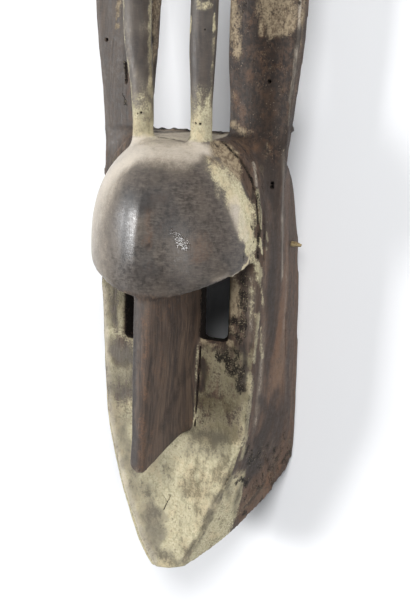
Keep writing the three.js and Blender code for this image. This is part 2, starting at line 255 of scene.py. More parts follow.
def carve(mesh):
    """Softens the solid's facets and gives it the marks of its making, of use and of age."""
    places = read_places(mesh)
    edges = read_edges(mesh)
    x, y, z = places.T
    places = relaxed(places, edges, np.full(len(places), 0.5), 2)
    shoulders = smooth(330, 345, y) * smooth(424, 412, y) * smooth(0, -3, z) * smooth(60, 66, np.abs(x))
    dome = smooth(284, 292, y) * smooth(4, 8, z) * smooth(440, 424, y)
    fillet = smooth(412, 418, y) * smooth(434, 426, y) * smooth(2, 6, z)
    places = relaxed(places, edges, 0.5 * np.clip(shoulders + 0.8 * dome + fillet, 0, 1), 14)
    write_places(mesh, places)

    # the waviness that the adze leaves, rougher inside and behind the face
    normals = read_normals(mesh)
    x, y, z = places.T
    push = 0.55 * noise_field(places, (26, 60, 26), 1)
    push += 0.28 * noise_field(places, (9, 22, 9), 2)
    inside = (np.abs(x) < 80) & (z < -17.5) & (y < 400)
    push += np.where(inside, 0.9 * noise_field(places, (16, 34, 16), 3), 0)
    rough = smooth(-1, -3, z) * smooth(400, 380, y)
    push += 0.16 * rough * noise_field(places, (3.2, 14, 3.2), 4)
    dome = smooth(284, 292, y) * smooth(6, 12, z)
    push *= 1 - 0.6 * dome
    places = places + normals * push[:, None]

    depths, dirt_and_hole_shade = groove_depths(places)
    places = places - normals * depths[:, None]
    # each hole is sunk, and painted dark inside as its shade
    for middle, radius, depth in HOLES.values():
        away = np.linalg.norm(places - np.array(middle), axis=1)
        dirt_and_hole_shade = np.maximum(dirt_and_hole_shade, smooth(radius * 1.2, radius * 0.7, away))
        places = places - normals * (depth * smooth(radius * 1.15, radius * 0.5, away))[:, None]

    # the ragged back edge of the crown and the nub on the right ear
    x, y, z = places.T
    crown_edge = smooth(-36, -44, z) * smooth(418, 424, y) * smooth(46, 38, np.abs(x + 5))
    ragged = noise_field(places, (4.5, 30, 30), 6) + 0.6 * noise_field(places, (2.6, 30, 30), 7)
    places[:, 1] += crown_edge * (2 + 1.5 * ragged)
    nub = np.linalg.norm(places - np.array((94.8, 433.5, -42)), axis=1)
    places += normals * (2.2 * smooth(3.2, 1, nub))[:, None]

    # the left border with its bevel, spread out towards the chin
    x, y, z = places.copy().T
    away = distance_to_line(places * (1, 1, 0), LEFT_BORDER)
    bevel = np.interp(y, (40, 120, 240), (4.6, 4.2, 3))
    places[:, 2] -= 0.8 * np.clip(bevel - away, 0, None) * smooth(-5, -1.5, z) * smooth(272, 262, y)
    outward = np.interp(y, (5, 25, 70, 125, 240), (1.5, 4.2, 4, 2.6, 1.3))
    spread = outward * smooth(18, 3, away) * smooth(-32, -6, z)
    places[:, 0] -= 0.92 * spread
    places[:, 1] -= 0.38 * spread * smooth(140, 100, y)
    places[:, 1] -= np.interp(x, (-16, 1, 16), (5, 4.2, 0)) * smooth(42, 6, y) * smooth(-45, -12, z)
    # the nose's tip, the keel down the middle of the dome, and the ears
    tip = smooth(150, 118, y) * smooth(20, 50, z)
    places[:, 0] -= 1.6 * tip * smooth(2, -8, x)
    places[:, 1] -= 2.4 * tip
    keel_x = np.interp(y, (295, 325, 350, 385), (-9, -6, -3, -1.5))
    keel = np.clip(1 - np.abs(x - keel_x) / 15, 0, 1) * smooth(292, 318, y) * smooth(388, 362, y)
    places[:, 2] += 1.6 * keel * smooth(40, 55, z)
    ears = smooth(-14, -20, z) * smooth(420, 560, y) * smooth(50, 98, np.abs(x))
    places[:, 0] += np.sign(x) * 2.3 * ears

    # the back edge stays flat, so that the mask lies on it
    z = places[:, 2]
    flat = smooth(RIM_DEPTH + 2, RIM_DEPTH + 1, z) * smooth(100, 116, places[:, 1])
    places[:, 2] = np.where(z < RIM_DEPTH + 2, z * (1 - flat) + RIM_DEPTH * flat, z)
    places[:, 2] = np.maximum(places[:, 2], RIM_DEPTH)
    write_places(mesh, places)
    return dirt_and_hole_shade


# Patina, with painted shade and highlights: how much of each finish lies on each place, from 0 to 1

# Each dab is a line of places, how far it reaches from it in mm, how much it lays (below 0 it takes
# away) and how soft its edge is, from 0 to 1.
DABS = {
    "clay": [
        # forehead's right side and the edge of the brow
        ([(46, 406, 26), (57, 393, 25)], 9, 0.45, 0.9),
        ([(58, 392, 24), (66, 379, 22)], 11, 0.75, 0.8),
        ([(70.5, 373, 16), (75.5, 356, 13), (78.3, 342, 12)], 11.5, 0.92, 0.6),
        ([(79, 340, 14), (80, 330, 11)], 8, 0.9, 0.5),
        ([(79, 326, 14), (81, 315, 7)], 3.5, 0.75, 0.5),
        (BROW_LINE, 1.5, 1, 0.6),
        # collar and the corner between face and wall
        ([(79, 380, -2), (81, 370, -1), (83.5, 358, -1), (85, 345, -1)], 1.7, 0.85, 0.5),
        ([(85, 334, 0), (86.5, 322, -2)], 2, 0.9, 0.5),
        ([(84, 365, -15), (84.5, 362, -14)], 1.6, 0.9, 0.5),
        ([(87, 352, -11), (87, 350, -11)], 1.4, 0.9, 0.5),
        ([(88, 339, -9), (88, 335, -9)], 1.6, 0.9, 0.5),
        ([(88, 328, -8), (88, 326, -8)], 1.3, 0.9, 0.5),
        ([(84, 312, -1), (86.5, 304, -3), (85, 297, -1)], 3.6, 0.8, 0.6),
        ([(86, 293, -2), (87, 283, -6), (87, 271, -9)], 2.4, 0.65, 0.7),
        ([(85, 264, -3), (85, 250, -5), (84, 238, -4), (82.5, 221, -3)], 2.6, 0.7, 0.7),
        ([(86, 249, -12), (85.5, 234, -13), (86, 221, -17)], 2, 0.65, 0.7),
        ([(77, 296, 0), (78, 280, 0), (79, 262, 0)], 2.4, 0.5, 0.7),
        ([(80.5, 205, -1), (79.3, 172, -1), (78, 151, -4), (74.8, 132, -7), (71, 120, -8)], 4.6, 0.7, 0.8),
        # face's left border
        ([
            (-76, 240, -4), (-72, 180, -4), (-66, 130, -4), (-50, 77, -4), (-31, 29, -4), (-16, 2, -4)],
            8, 0.9, 0.5),
        (LEFT_BORDER, 7, 1, 0.4),
        # horns
        ([(18.5, 533, 22), (18, 519, 21)], 2.2, 0.9, 0.5),
        ([(39.5, 537, 18), (40, 522, 16)], 2, 0.9, 0.5),
        ([(26, 547, 26), (32, 543, 25), (38, 546, 20)], 3, 0.6, 0.7),
        ([(-27, 548, 13), (-26.5, 506, 12), (-24, 483, 14), (-23, 462, 15)], 3.2, 0.7, 0.7),
        ([(-49, 545, 21), (-46, 495, 21), (-42.5, 460, 21)], 2.4, 0.6, 0.7),
        ([(18.5, 515, 20), (17.5, 480, 20), (19, 455, 20)], 1.8, 0.45, 0.8),
        ([(40.5, 515, 16), (39.5, 480, 16), (38.5, 455, 17)], 2.2, 0.5, 0.8),
        # worn off again
        ([(-67, 211, 0), (-58, 206, 0), (-50, 205, 0)], 8, -0.5, 0.6),
        ([(-66, 171, 0), (-57, 168, 0), (-48, 171, 0)], 6, -0.45, 0.6),
        ([(-66, 270, 0), (-65, 250, 0), (-63, 229, 0)], 3, -0.5, 0.7),
        ([(32, 209, 0), (34, 201, 0), (31, 186, 0)], 5, -0.75, 0.5),
    ],
    "ash_and_sheen": [
        # forehead's upper edge and its left side, pale with ash and lighter on the left as painted sheen
        ([(-26, 404, 46), (-10, 411, 43), (5, 414, 43), (18, 414, 41), (32, 412, 32)], 8, 0.66, 0.8),
        ([(-22, 419, 34), (-5, 421, 33), (14, 421, 33), (40, 416, 20)], 6, 0.8, 0.8),
        ([(-8, 407, 50), (14, 406, 49), (31, 404, 42)], 8, 0.3, 1),
        ([(-30, 402, 46), (-43, 394, 45), (-51, 384, 43)], 9, 0.9, 0.9),
        ([(-26, 421, 22), (-37, 418, 21), (-44, 415, 18)], 5, 0.95, 0.6),
        ([(-22, 414, 39), (-30, 412, 34), (-38, 410, 30)], 9, 0.8, 0.9),
        ([(-35, 396, 53), (-10, 402, 54), (20, 402, 52)], 12, 0.19, 1),
        ([(-50, 382, 46), (-64, 352, 33), (-74, 328, 20)], 19, 0.59, 1),
        # forehead's right side; left border, with a painted highlight along its bevel; edge of the brow
        ([(68, 370, 24), (72, 356, 22), (76, 341, 17)], 8, 0.7, 0.6),
        (LEFT_BORDER, 5.5, 0.9, 0.5),
        ([(60, 302, 44), (68, 303.5, 35), (76, 307, 24)], 2.6, 0.35, 1),
        (BROW_LINE, 1.5, 0.6, 0.8),
        # right wall, corners beside the dome, right ear
        ([(94, 414, -29), (93, 397, -32), (92.5, 378, -35), (93, 350, -34)], 3.4, 0.5, 0.8),
        ([(93, 350, -34), (93, 322, -35), (93, 296, -38)], 3.4, 0.5, 0.8),
        ([(78, 300, -2), (79, 270, -2), (80, 240, -4)], 5, 0.25, 0.9),
        ([(-46, 412, 20), (-54, 400, 26), (-62, 385, 26)], 9, 0.6, 0.9),
        ([(102.6, 560, -29), (101.6, 515, -29.5), (99.2, 479, -29.5), (96.8, 440, -29.5)], 1.5, 0.75, 0.6),
        ([(72, 403, -10), (75, 393, -7), (78, 385, -3)], 2.2, 0.5, 0.6),
    ],
    "tan": [
        # shoulder, ears, right eye hole, jaw
        ([(38, 418, 6), (48, 411, 6), (56, 403, 6), (63, 394, 8)], 8.5, 1, 0.5),
        ([(44, 409, 22), (53, 401, 22), (58, 395, 22), (64, 386, 20)], 6, 0.9, 0.7),
        ([(69, 548, -28), (80, 549, -28), (91, 545, -28)], 8.5, 0.85, 0.9),
        ([(72, 535, -28), (82, 532, -28), (93, 534, -28)], 8, 0.85, 0.9),
        ([(76, 523, -28), (76, 519, -28)], 5, 0.7, 0.7),
        ([(87, 521, -28), (94, 526, -28)], 5.5, 0.8, 0.6),
        ([(66, 520, -28), (67, 528, -28)], 3.5, 0.8, 0.5),
        ([(36, 552, -28), (37, 532, -28), (39, 520, -28), (42, 504, -28)], 6, 0.88, 1),
        ([(41, 437, -28), (48, 433, -28)], 4, 0.7, 0.5),
        ([(102, 550, -35), (101, 512, -34)], 4, 0.55, 0.6),
        ([(58, 294, 0), (62, 279, 0), (63, 266, 0)], 6.5, 1, 0.5),
        ([(60, 249, 0), (63, 244, 0)], 3, 0.7, 0.5),
        ([(30, 232, 0), (38, 232, 0), (46, 232, 0)], 2.2, 0.85, 0.5),
        ([(58, 233, 0), (62, 232, 0)], 3, 0.85, 0.5),
        ([(-45, 552, -36), (-46, 519, -34), (-47, 500, -36), (-48, 478, -38)], 6, 0.8, 0.8),
        ([(-84, 546, -28), (-83, 533, -28)], 3.5, 0.6, 0.6),
        ([(-84, 524, -28), (-83, 520, -28)], 3, 0.75, 0.5),
        ([(74, 76, -54), (67, 66, -44), (60, 55, -36)], 4, 0.4, 0.8),
        ([(78, 417, -26), (76, 398, -18), (80, 391, -17)], 2.6, 0.6, 0.6),
    ],
    "rust": [
        # crown, forehead and nose
        ([(-36, 424, -22), (-26, 424, -24), (-10, 424, -36), (14, 424, -42)], 9, 0.8, 0.8),
        ([(7.5, 357, 73), (8.5, 343, 73), (7.5, 331, 73)], 4.2, 0.42, 1),
        ([(52, 340, 56), (54, 326, 52)], 9, 0.4, 1),
        ([(2, 268, 63), (3, 205, 64.5), (1.5, 147, 64.5), (1, 122, 63)], 3.4, 0.35, 0.9),
        # right wall
        ([(92, 298, -45), (93, 267, -45.5), (92.5, 240, -41.5), (90, 222, -38)], 6, 0.85, 0.7),
        ([(92, 230, -66), (92, 211, -56), (90, 197, -43), (87, 175, -33)], 5, 0.7, 0.7),
        ([
            (91, 150, -84), (90, 123, -80), (88, 110, -78), (86, 100, -77), (84, 92, -73), (79, 84, -62)],
            4.6, 0.95, 0.5),
        # ears and the forehead's edges
        ([(43, 468, -28), (47, 458, -28), (52, 450, -28), (48, 436, -28)], 4, 0.6, 0.8),
        ([(54, 480, -28), (60, 475, -28)], 3.5, 0.8, 0.6),
        ([(72, 464, -28), (79, 468, -28), (76, 457, -28)], 4, 0.8, 0.6),
        ([(68, 491, -28), (70, 487, -28)], 2.6, 0.7, 0.6),
        ([(70, 443, -28), (76, 440, -28), (83, 450, -28)], 4, 0.6, 0.7),
        ([(66, 517, -28), (68, 526, -28)], 4, 0.7, 0.6),
        ([(68, 416, -24), (74, 419, -26), (79, 419, -26)], 3.5, 0.9, 0.6),
        ([(-45, 549, -34), (-46, 538, -33)], 3.4, 0.95, 0.7),
        ([(-45, 552, -36), (-46, 520, -36), (-47, 490, -38), (-48, 462, -38)], 6, 0.8, 0.9),
        ([(-46, 528, -34), (-46, 512, -35), (-47, 500, -37)], 3, 0.8, 0.8),
        ([(-70, 505, -28), (-69, 460, -28), (-67, 430, -28)], 2.2, 0.55, 0.8),
        ([(45, 330, 60), (48, 318, 56)], 7, 0.35, 0.9),
        ([(30, 409, 39), (14, 408, 46), (0, 405, 52)], 4, 0.4, 0.8),
    ],
    "cool": [
        ([(-9.5, 280, 60), (-9, 259, 61.5), (-9, 203, 62.5), (-7.5, 145, 63), (-7, 128, 63)], 4.2, 0.5, 0.6),
        ([(-14, 372, 69), (-15, 345, 71), (-16, 325, 70)], 9, 0.55, 0.9),
        ([(2, 372, 71), (3, 360, 73)], 5, 0.6, 0.8),
        ([(91, 333, -20), (91, 304, -20), (90, 275, -23), (90, 245, -27)], 8, 0.45, 0.7),
        ([(70, 405, -22), (80, 390, -24), (86, 375, -24)], 9, 0.5, 0.7),
    ],
    "shade": [
        # nape and crown
        ([(84, 384, -76), (87, 360, -72), (89, 330, -68)], 10, 0.45, 0.9),
        ([
            (-24, 422, 3), (-12, 421.5, 7), (-3, 421, 10.5), (8, 420.5, 15.5), (18, 420.5, 19)],
            2.8, 0.62, 0.8),
        ([(-38, 424, -26), (-28, 424, -27), (-20, 424, -33), (-4, 424, -42), (14, 424, -45)], 8, 0.72, 0.9),
        ([(-22, 423, -4), (-10, 422, -12), (2, 422, -16), (16, 422, -12)], 2.6, 0.35, 0.8),
        # forehead, nose and the corner beside it
        ([(7, 331, 73), (7, 328, 73)], 2.2, 1, 0.6),
        ([(-8, 303, 66), (18, 303, 68), (38, 300, 60)], 13, 0.52, 1),
        ([(-12, 393, 60), (12, 393, 60)], 8, 0.3, 1),
        ([(22, 286, 25), (18, 262, 34), (14, 232, 44)], 11, 0.3, 1),
        ([(60, 336, 47), (61, 335, 47)], 1.6, 0.7, 0.5),
        ([(2, 372, 71), (4, 362, 72)], 6, 0.5, 0.9),
        ([(-6, 372, 70), (0, 358, 73)], 3, 0.35, 0.9),
        ([(15, 372, 69), (30, 365, 66), (25, 352, 68)], 9, 0.25, 0.9),
        ([(8.8, 262, 60), (8.8, 205, 60), (7.4, 147, 59), (6.5, 124, 59)], 1.7, 0.75, 0.6),
        ([(22, 203, 13), (17, 179, 28), (12.5, 156, 41)], 4.6, 0.6, 0.9),
        ([(-10, 270, 58), (-10, 200, 60), (-9, 130, 60)], 6, 0.9, 0.9),
        ([(90, 165, -62), (88, 138, -60)], 12, 0.35, 1),
        ([(16, 262, 35), (18, 226, 29), (17, 206, 29)], 4, 0.45, 0.8),
        ([(24, 266, 9), (24, 236, 9)], 4.5, 0.4, 0.8),
        ([(-8, 284, 58), (8, 284, 60), (20, 282, 30)], 3.5, 0.45, 0.8),
        # right cheek, right wall and shoulder
        ([(72, 232, 0), (75, 220, 0), (76, 208, 0), (73, 190, 0)], 4, 0.85, 0.6),
        ([(32, 209, 0), (34, 202, 0), (31.5, 186, 0)], 4.2, 0.75, 0.6),
        ([(89, 362, -24), (91, 333, -20), (91, 304, -20)], 7, 0.6, 0.7),
        ([(91, 304, -20), (90, 275, -23), (90, 245, -28)], 7, 0.6, 0.7),
        ([(90, 240, -29), (87.5, 205, -26)], 6, 0.6, 0.7),
        ([(85, 178, -23), (87, 164, -38), (90, 178, -47)], 6, 0.7, 0.7),
        ([(86, 152, -40), (82, 134, -33), (76, 115, -28), (74, 102, -38)], 10, 0.95, 0.6),
        ([(88, 150, -62), (86, 128, -58)], 12, 0.45, 0.9),
        ([(95, 408, -42), (95, 380, -44), (95, 352, -44)], 6, 0.45, 0.9),
        ([(70, 405, -24), (80, 390, -26), (86, 375, -24)], 9, 0.65, 0.7),
        ([(84, 375, -8), (86, 352, -7), (87.5, 330, -6)], 3, 0.7, 0.7),
        # left cheek, horns, left ear and jaw
        ([(-66, 272, 0), (-65, 250, 0), (-63, 229, 0)], 2.6, 0.5, 0.8),
        ([(-36, 545, 26), (-33, 500, 26), (-33, 465, 25)], 6, 0.35, 0.9),
        ([(28, 515, 25), (28, 470, 25)], 6, 0.2, 0.9),
        ([(-73, 505, -28), (-72, 460, -28), (-70, 430, -28)], 2.6, 0.5, 0.8),
        ([(-49, 492, -41), (-49, 470, -39), (-50, 450, -37)], 4.5, 0.9, 0.6),
        ([(78, 80, -57), (70, 69, -47), (62, 57, -39)], 2, 0.8, 0.6),
    ],
    "soot_and_shade": [
        # collar and the edge of the brow
        ([(44, 421, -2), (53, 415, -2), (61, 407, -2), (68, 399, -2), (74, 390, -2)], 2.2, 0.9, 0.6),
        ([(75, 388, -1), (80, 375, -1), (83, 357, -1), (84.5, 330, 0)], 1.6, 0.65, 0.7),
        ([(55, 413, -8), (66, 403, -12), (74, 390, -10), (80, 378, -10)], 3.5, 0.25, 0.8),
        ([(64, 398, 8), (70, 388, 6), (75, 376, 6)], 4, 0.3, 0.8),
        ([(80, 352, 5), (82, 336, 5)], 2.5, 0.45, 0.8),
        ([(77, 322, 20), (81, 315, 9)], 4, 0.5, 0.8),
        # crust around the right eye hole and on the right cheek
        ([(70, 300, 0), (71, 285, 0), (71, 262, 0), (70, 240, 0)], 4.6, 0.62, 0.7),
        ([(53.5, 296, 0), (53, 280, 0)], 1.8, 0.7, 0.6),
        ([(57, 254, 0), (64, 257, 0)], 4.6, 0.72, 0.6),
        ([(58, 242, 0), (66, 240, 0)], 3, 0.55, 0.7),
        ([(47, 227, 0), (54, 226, 0), (66, 227, 0)], 4.6, 0.68, 0.6),
        ([(50, 219, 0), (58, 216, 0), (66, 217, 0)], 6, 0.8, 0.6),
        ([(60, 207, 0), (68, 207, 0)], 6, 0.85, 0.6),
        ([(68, 198, 0), (71, 190, 0)], 3.6, 0.8, 0.6),
        # jaw and left ear
        ([(75, 129, -16), (74, 114, -26)], 6, 0.5, 0.8),
        ([(67, 97, -19), (70, 91, -32)], 4.5, 0.8, 0.6),
        ([(-74.5, 487, -28), (-73, 478, -28), (-73, 470, -28)], 1.6, 0.7, 0.6),
        ([(-75, 457, -28), (-71, 446, -28)], 1.8, 0.6, 0.7),
        ([(-93, 475, -28), (-92, 472, -28)], 2, 0.45, 0.7),
    ],
    "grey": [
        ([(-21, 56, 0), (-14, 55, 0)], 5.5, 0.75, 0.7),
        ([(-8, 52, 0), (-4, 48, 0)], 4.5, 0.5, 0.7),
        ([(-26, 46, 0), (-16, 42, 0), (-20, 34, 0)], 9, 0.72, 0.9),
        ([(-14, 30, 0), (-6, 34, 0), (-11, 22, 0)], 5.5, 0.65, 0.7),
        ([(-17, 18, 0), (-8, 12, 0), (3, 7, 0)], 7, 0.4, 0.9),
        ([(-54, 128, 0), (-49, 113, 0), (-50, 98, 0)], 8, 0.6, 0.8),
        ([(-46, 96, 0), (-38, 84, 0), (-30, 66, 0)], 9, 0.35, 0.9),
        ([(-67, 211, 0), (-58, 206, 0), (-48, 205, 0)], 9.5, 0.88, 0.8),
        ([(-68, 171, 0), (-57, 168, 0), (-46, 171, 0)], 8, 0.55, 0.8),
        ([(54, 82, 0), (49, 73, 0), (45, 65, 0)], 4.5, 0.7, 0.8),
        ([(69, 120, 0), (62, 99, 0), (54, 82, 0)], 3, 0.4, 0.8),
        ([(43, 57, 0), (35, 35, 0), (19, 9, 0)], 4, 0.6, 0.8),
        ([(14, 8, 0), (20, 3, -4)], 3, 0.6, 0.7),
        ([(58, 394, 24), (66, 380, 21)], 7, 0.25, 1),
        ([(-74, 270, 0), (-68, 240, 0)], 10, 0.55, 1),
        ([(-70, 187, 0), (-46, 187, 0)], 9, 0.62, 1),
        ([(24, 140, 0), (58, 142, 0)], 8, 0.7, 1),
        ([(-70, 155, 0), (-60, 140, 0), (-48, 140, 0)], 10, 0.5, 1),
        ([(20, 125, 0), (40, 122, 0), (55, 126, 0)], 9, 0.45, 1),
    ],
    "glaze": [
        ([(28, 343, 66), (34, 338, 64)], 2.6, 0.8, 1),
        ([(34, 337, 63), (37, 331, 62)], 4, 1, 0.7),
        ([(33, 336, 64), (41, 331, 60)], 6.5, 0.42, 1),
    ],
    "olive": [
        ([(31, 171, 0), (46, 172, 0), (60, 175, 0), (74, 183, 0)], 6, 0.95, 0.7),
        ([(23, 141, 0), (36, 137, 0), (52, 139, 0), (64, 144, 0)], 6.5, 0.95, 0.7),
        ([(16, 134, 0), (28, 130, 0), (48, 130, 0)], 6, 0.6, 0.8),
        ([(66, 150, 0), (60, 125, 0), (58, 108, 0)], 6, 0.5, 0.9),
        ([(69, 121, 0), (62, 99, 0), (50, 75, 0)], 3.5, 0.6, 0.6),
        ([(46, 63, 0), (36, 38, 0), (19, 9, 0)], 3.5, 0.6, 0.6),
        ([(-66, 200, 0), (-50, 198, 0)], 5, 0.8, 0.7),
        ([(-8, 14, 0), (0, 4, 0), (10, 4, 0)], 5, 0.5, 0.8),
        ([(80, 340, 14), (79, 350, 16)], 3.5, 0.5, 0.7),
        ([(-26, 520, 12), (-25, 480, 14)], 3, 0.7, 0.7),
    ],
}


class Coat:
    """How much of one finish lies on each place, from 0 to 1."""

    def __init__(self, places, uneven, dabs):
        self.places = places
        self.uneven = uneven
        self.amount = np.zeros(len(places))
        self.dabs = dabs

    def lay(self, cover):
        self.amount = self.amount + np.clip(cover, 0, 1) * (1 - self.amount)

    def take(self, cover):
        self.amount = self.amount * (1 - np.clip(cover, 0, 1))

    def finish(self):
        """Adds the dabs to what was laid on whole zones."""
        for line, reach, amount, softness in self.dabs:
            away = distance_to_line(self.places, line) / (reach * self.uneven)
            cover = smooth(1 + softness, 1 - softness, away)
            if amount > 0:
                self.lay(amount * cover)
            else:
                self.take(-amount * cover)
        return self.amount


def face_zone(places, normals):
    """The flat of the face, which runs from the chin up to both sides of the dome."""
    flat = smooth(-3.5, -1, places[:, 2]) * smooth(3, 1.2, places[:, 2])
    return flat * smooth(0.35, 0.75, normals[:, 2]) * smooth(425, 420, places[:, 1])


def bends(mesh, places, normals):
    """How sharply each place stands out (above 0) or lies in a corner (below 0), in mm."""
    edges = read_edges(mesh)
    middles = relaxed(places, edges, np.ones(len(places)), 1)
    bend = ((places - middles) * normals).sum(axis=1)
    return relaxed(bend[:, None], edges, np.full(len(places), 0.5), 1)[:, 0]


def inner_zone(places, normals):
    """The hollow behind the face and the dome, and the walls of the eye holes, which are painted dark as
    shade.
    """
    side, height, depth = places.T
    inward = np.maximum(smooth(0, -0.3, normals[:, 0] * np.sign(side)), smooth(-0.1, -0.5, normals[:, 2]))
    behind = smooth(-15, -19, depth) * smooth(404, 398, height) * inward
    in_dome = np.linalg.norm((places - (0, 356, -6)) / (63, 51, 57), axis=1) < 1
    in_eyes = smooth(-1.2, -3, depth) * smooth(68, 64, np.abs(side)) * smooth(215, 225, height)
    return np.clip(behind + in_dome + in_eyes * smooth(404, 398, height), 0, 1)


def patina_and_painted_light(mesh, dirt_and_hole_shade):
    """Lays the finishes, painted shade and highlights among them, on the carving and stores them on its
    mesh.
    """
    places = read_places(mesh)
    normals = read_normals(mesh)
    warp = warp_field(places, (9, 16, 9), 20) * (2, 4, 2)
    warp += warp_field(places, (3.6, 7, 3.6), 30) * (1.3, 2.6, 1.3)
    warped = places + warp
    x, y, z = warped.T
    side, height, depth = places.T
    mottle = noise_field(places, (6, 10, 6), 40)
    broad = noise_field(places, (22, 34, 22), 41)
    patches = noise_field(places, (10, 13, 10), 46)
    streaks = noise_field(places, (4, 60, 4), 42)
    wide_streaks = noise_field(places, (9, 90, 9), 44)

    # zones, each from 0 to 1
    face = face_zone(places, normals)
    above = smooth(-1, 1, depth)
    dome = smooth(282, 290, height) * smooth(2, 8, depth) * smooth(426, 418, height)
    wall = smooth(0.3, 0.6, np.abs(normals[:, 0])) * smooth(54, 60, np.abs(side)) * smooth(1, -1, depth)
    right = smooth(-5, 5, side)
    inside = inner_zone(places, normals)
    crown = smooth(0.5, 0.8, normals[:, 1]) * smooth(414, 419, height) * smooth(440, 430, height)
    crown *= smooth(42, 36, np.abs(side + 5))
    horns = smooth(420, 424, height) * smooth(-2, 0, depth)
    ears = smooth(-20, -26, depth) * smooth(385, 410, height) * smooth(28, 34, np.abs(side))
    nose = above * smooth(34, 28, np.abs(side)) * smooth(290, 282, height)
    # how deep on the jaw's side the clay ends
    jaw_line = -27 - 0.11 * (104 - y)

    uneven = 1 + 0.4 * noise_field(places, (7, 12, 7), 45)
    coats = {name: Coat(warped, uneven, dabs) for name, dabs in DABS.items()}
    coats["ash_and_sheen"] = Coat(places + 0.5 * warp, 1 + 0.12 * patches, DABS["ash_and_sheen"])
    clay, olive, soot_and_shade = coats["clay"], coats["olive"], coats["soot_and_shade"]
    rust, tan, ash_and_sheen = coats["rust"], coats["tan"], coats["ash_and_sheen"]
    cool, shade, grey = coats["cool"], coats["shade"], coats["grey"]

    # face and horns
    clay.lay(face * smooth(160, 132, y))
    clay.lay(face * smooth(300, 285, y) * smooth(-20, -26, x) * (0.62 + 0.25 * broad + 0.3 * mottle))
    clay.lay(face * smooth(236, 222, y) * smooth(16, 22, x) * (0.5 + 0.2 * broad + 0.3 * mottle))
    clay.lay(smooth(0, -2, depth) * smooth(112, 100, y) * smooth(jaw_line - 3, jaw_line + 2, z) * 0.85)
    clay.lay(horns * smooth(500, 428, y + 10 * mottle) ** 1.5 * smooth(60, 50, np.abs(side)) * 0.88)
    olive.lay(face * smooth(22, 30, x) * smooth(130, 150, y) * smooth(240, 226, y) * (0.62 + 0.35 * mottle))
    olive.lay(face * smooth(-26, -32, x) * smooth(150, 170, y) * (0.35 + 0.4 * broad))
    olive.lay(face * smooth(5, 25, x) * smooth(135, 120, y) * smooth(50, 75, y) * (0.35 + 0.4 * mottle))
    olive.lay(face * smooth(125, 110, y) * (0.2 + 0.3 * mottle + 0.35 * patches))
    grey.lay(face * smooth(220, 150, y) * smooth(5, -25, x) * (0.27 + 0.2 * broad + 0.2 * patches))
    grey.lay(face * smooth(140, 110, y) * (0.1 + 0.2 * broad + 0.2 * patches))
    olive.lay(horns * smooth(500, 450, y) * (0.3 + 0.4 * mottle))
    grey.lay(horns * smooth(500, 450, y) * (0.25 + 0.4 * patches))
    # dome, crown, walls, horns and ears
    # painted sheen: the dome is painted lighter towards its left, the side the light falls on
    ash_and_sheen.lay(dome * smooth(-10, -55, x) * 0.38)
    ash_and_sheen.lay(crown * smooth(-42, -30, z) * (1.05 + 0.3 * mottle))
    clay.lay(crown * smooth(-42, -30, z) * (0.3 + 0.3 * mottle))
    ash_and_sheen.lay(wall * (0.3 * wide_streaks))
    ash_and_sheen.lay(horns * (0.14 - 0.1 * right + 0.15 * mottle + 0.1 * broad))
    cool.lay(horns * 0.45 + ears * (1 - right) * 0.2 + dome * (0.1 + 0.5 * broad + 0.3 * patches))
    cool.lay(wall * (-0.05 - 0.25 * wide_streaks))
    rust.lay(wall * smooth(-18, -44, z) * (0.4 + 0.5 * wide_streaks + 0.3 * streaks))
    rust.lay(wall * 0.36)
    rust.lay(ears * right * (0.1 * broad + 0.2 * patches + 0.6 * mottle))
    rust.lay(dome * (0.2 * broad + 0.15 * patches) + nose * (0.1 + 0.3 * broad))
    shade.lay(ears * right * (0.5 - 0.2 * broad - 0.3 * patches - 0.5 * mottle))
    shade.lay(wall * (0.28 + 0.4 * streaks - 0.25 * wide_streaks))
    shade.lay(wall * smooth(-1, -4, depth) * smooth(-44, -34, z) * right * 0.2)
    shade.lay(dome * (0.1 * patches - 0.2 * broad) + nose * (0.05 + 0.25 * patches))
    shade.lay(crown * smooth(0.3, 0.7, noise_field(places, (24, 4, 5), 48)) * 0.3)
    shade.lay(ears * (1 - right) * (0.02 + 0.1 * patches) + horns * right * 0.15)
    # painted shade: the hollow and the eye holes' walls are painted dark, nearly black deep inside
    shade.lay(inside * 0.95)
    soot_and_shade.lay(inside * smooth(-80, -40, depth))
    soot_and_shade.lay(crown * smooth(-36, -43, z) * 0.9)
    soot_and_shade.lay(ears * right * (0.1 + 0.3 * mottle))
    soot_and_shade.lay(wall * smooth(150, 120, y) * smooth(jaw_line, jaw_line - 5, z) * (0.25 + 0.35 * mottle))
    tan.lay(crown * smooth(-42, -36, z) * (0.9 + 0.4 * noise_field(places, (18, 2.2, 3.2), 43)))
    tan.lay(ears * right * (-0.2 + 0.6 * patches + 0.5 * mottle) * smooth(500, 470, y))

    # convex edges lighter, as wear and painted highlight; concave corners darker, except beside the left ear
    bend = bends(mesh, places, normals) * (1 - inside)
    wear_and_edge_highlight = smooth(0.1, 0.42, bend) * (0.7 + 0.5 * mottle + 0.4 * patches)
    corner_darkening_share = 1 - 0.95 * smooth(-12, -28, side) * smooth(385, 400, height)
    shade.lay(smooth(-0.06, -0.3, bend) * 0.8 * (1 - dome) * (1 - 0.8 * crown) * corner_darkening_share)
    soot_and_shade.lay(smooth(-0.15, -0.45, bend) * (0.5 + 0.4 * mottle) * (1 - face * smooth(120, 100, y)) * corner_darkening_share)

    amounts = {name: coat.finish() for name, coat in coats.items()}
    clear = smooth(0.2, 0.9, amounts["tan"]) * ears * right
    amounts["soot_and_shade"] = amounts["soot_and_shade"] * (1 - 0.85 * clear)
    amounts["shade"] = amounts["shade"] * (1 - 0.9 * clear)
    amounts["crumbs"] = amounts["soot_and_shade"] * smooth(0.1, 0, inside) * (1 - crown)
